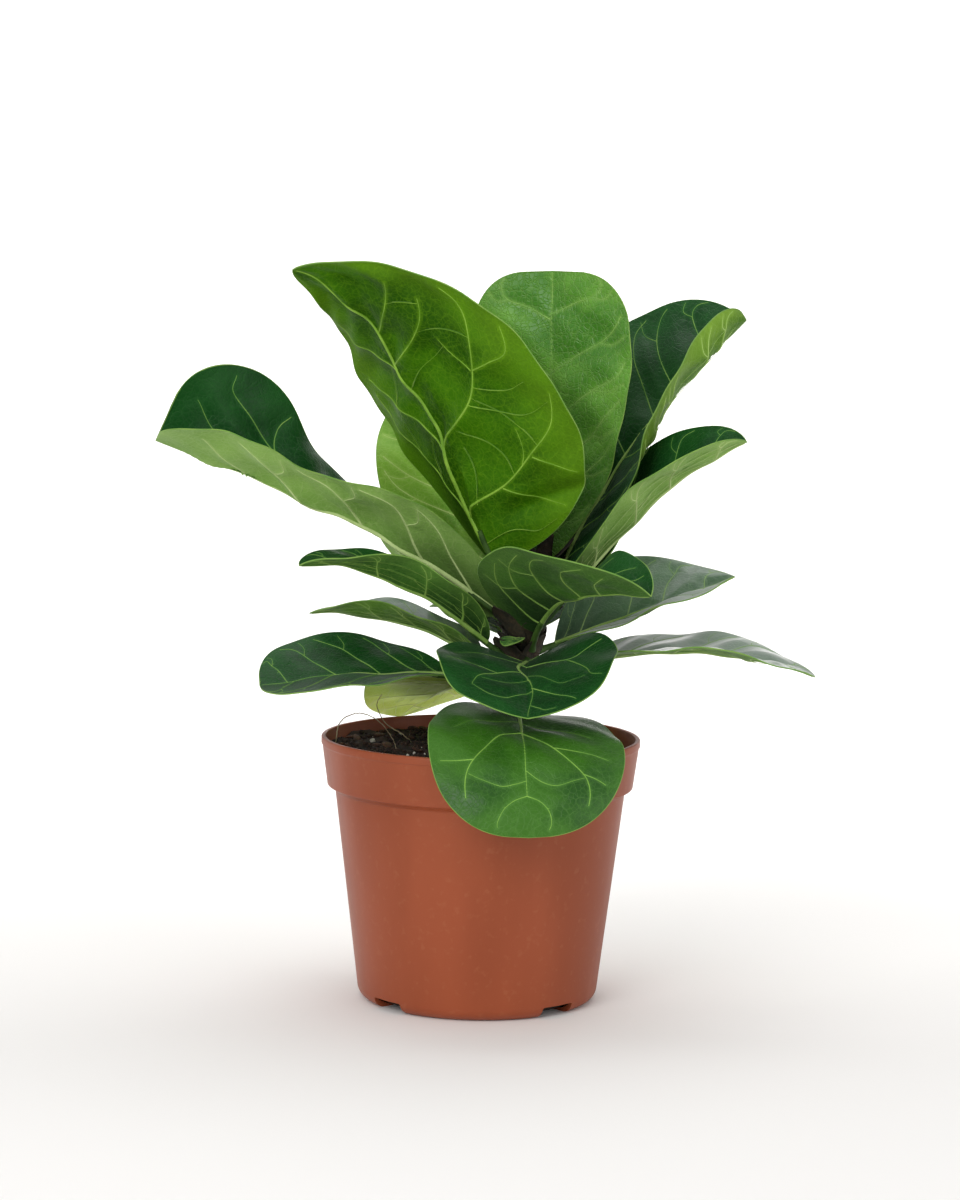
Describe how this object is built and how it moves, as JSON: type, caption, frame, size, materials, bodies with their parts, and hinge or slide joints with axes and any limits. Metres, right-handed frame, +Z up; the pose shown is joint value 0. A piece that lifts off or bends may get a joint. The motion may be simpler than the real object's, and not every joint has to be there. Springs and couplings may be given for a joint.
{
  "type": "potted fiddle leaf fig",
  "caption": "Young fiddle leaf fig with broad waisted leaves around a short stem, rooted in potting soil in a tapered plastic nursery pot with a stepped collar.",
  "frame": {"origin": "centre of the pot's flat underside, on the surface it stands on", "axes": "+Z up, +X to the right seen from the plant's front, +Y towards its back"},
  "size_m": [0.2869, 0.194, 0.3219],
  "materials": {
    "pot_plastic": "satin",
    "potting_soil": "matte",
    "stem_bark": "matte",
    "leaf_green": "satin",
    "root_fibre": "matte"
  },
  "bodies": {
    "root": {"pot": "pot_plastic", "soil": "potting_soil", "stem": "stem_bark", "leaf_front_low": "leaf_green", "leaf_back_low": "leaf_green", "leaf_left_low": "leaf_green", "leaf_front_mid": "leaf_green", "leaf_right_low": "leaf_green", "leaf_back_left_low": "leaf_green", "leaf_left_slim": "leaf_green", "leaf_left_mid": "leaf_green", "leaf_right_grey": "leaf_green", "leaf_sprig": "leaf_green", "leaf_front_small": "leaf_green", "leaf_back_mid": "leaf_green", "leaf_right_mid": "leaf_green", "leaf_back_right": "leaf_green", "leaf_back_left": "leaf_green", "leaf_left_long": "leaf_green", "leaf_right_top": "leaf_green", "leaf_top_front": "leaf_green", "leaf_top_back": "leaf_green", "root_fibre_long": "root_fibre", "root_fibre_short": "root_fibre"}
  },
  "joints": []
}
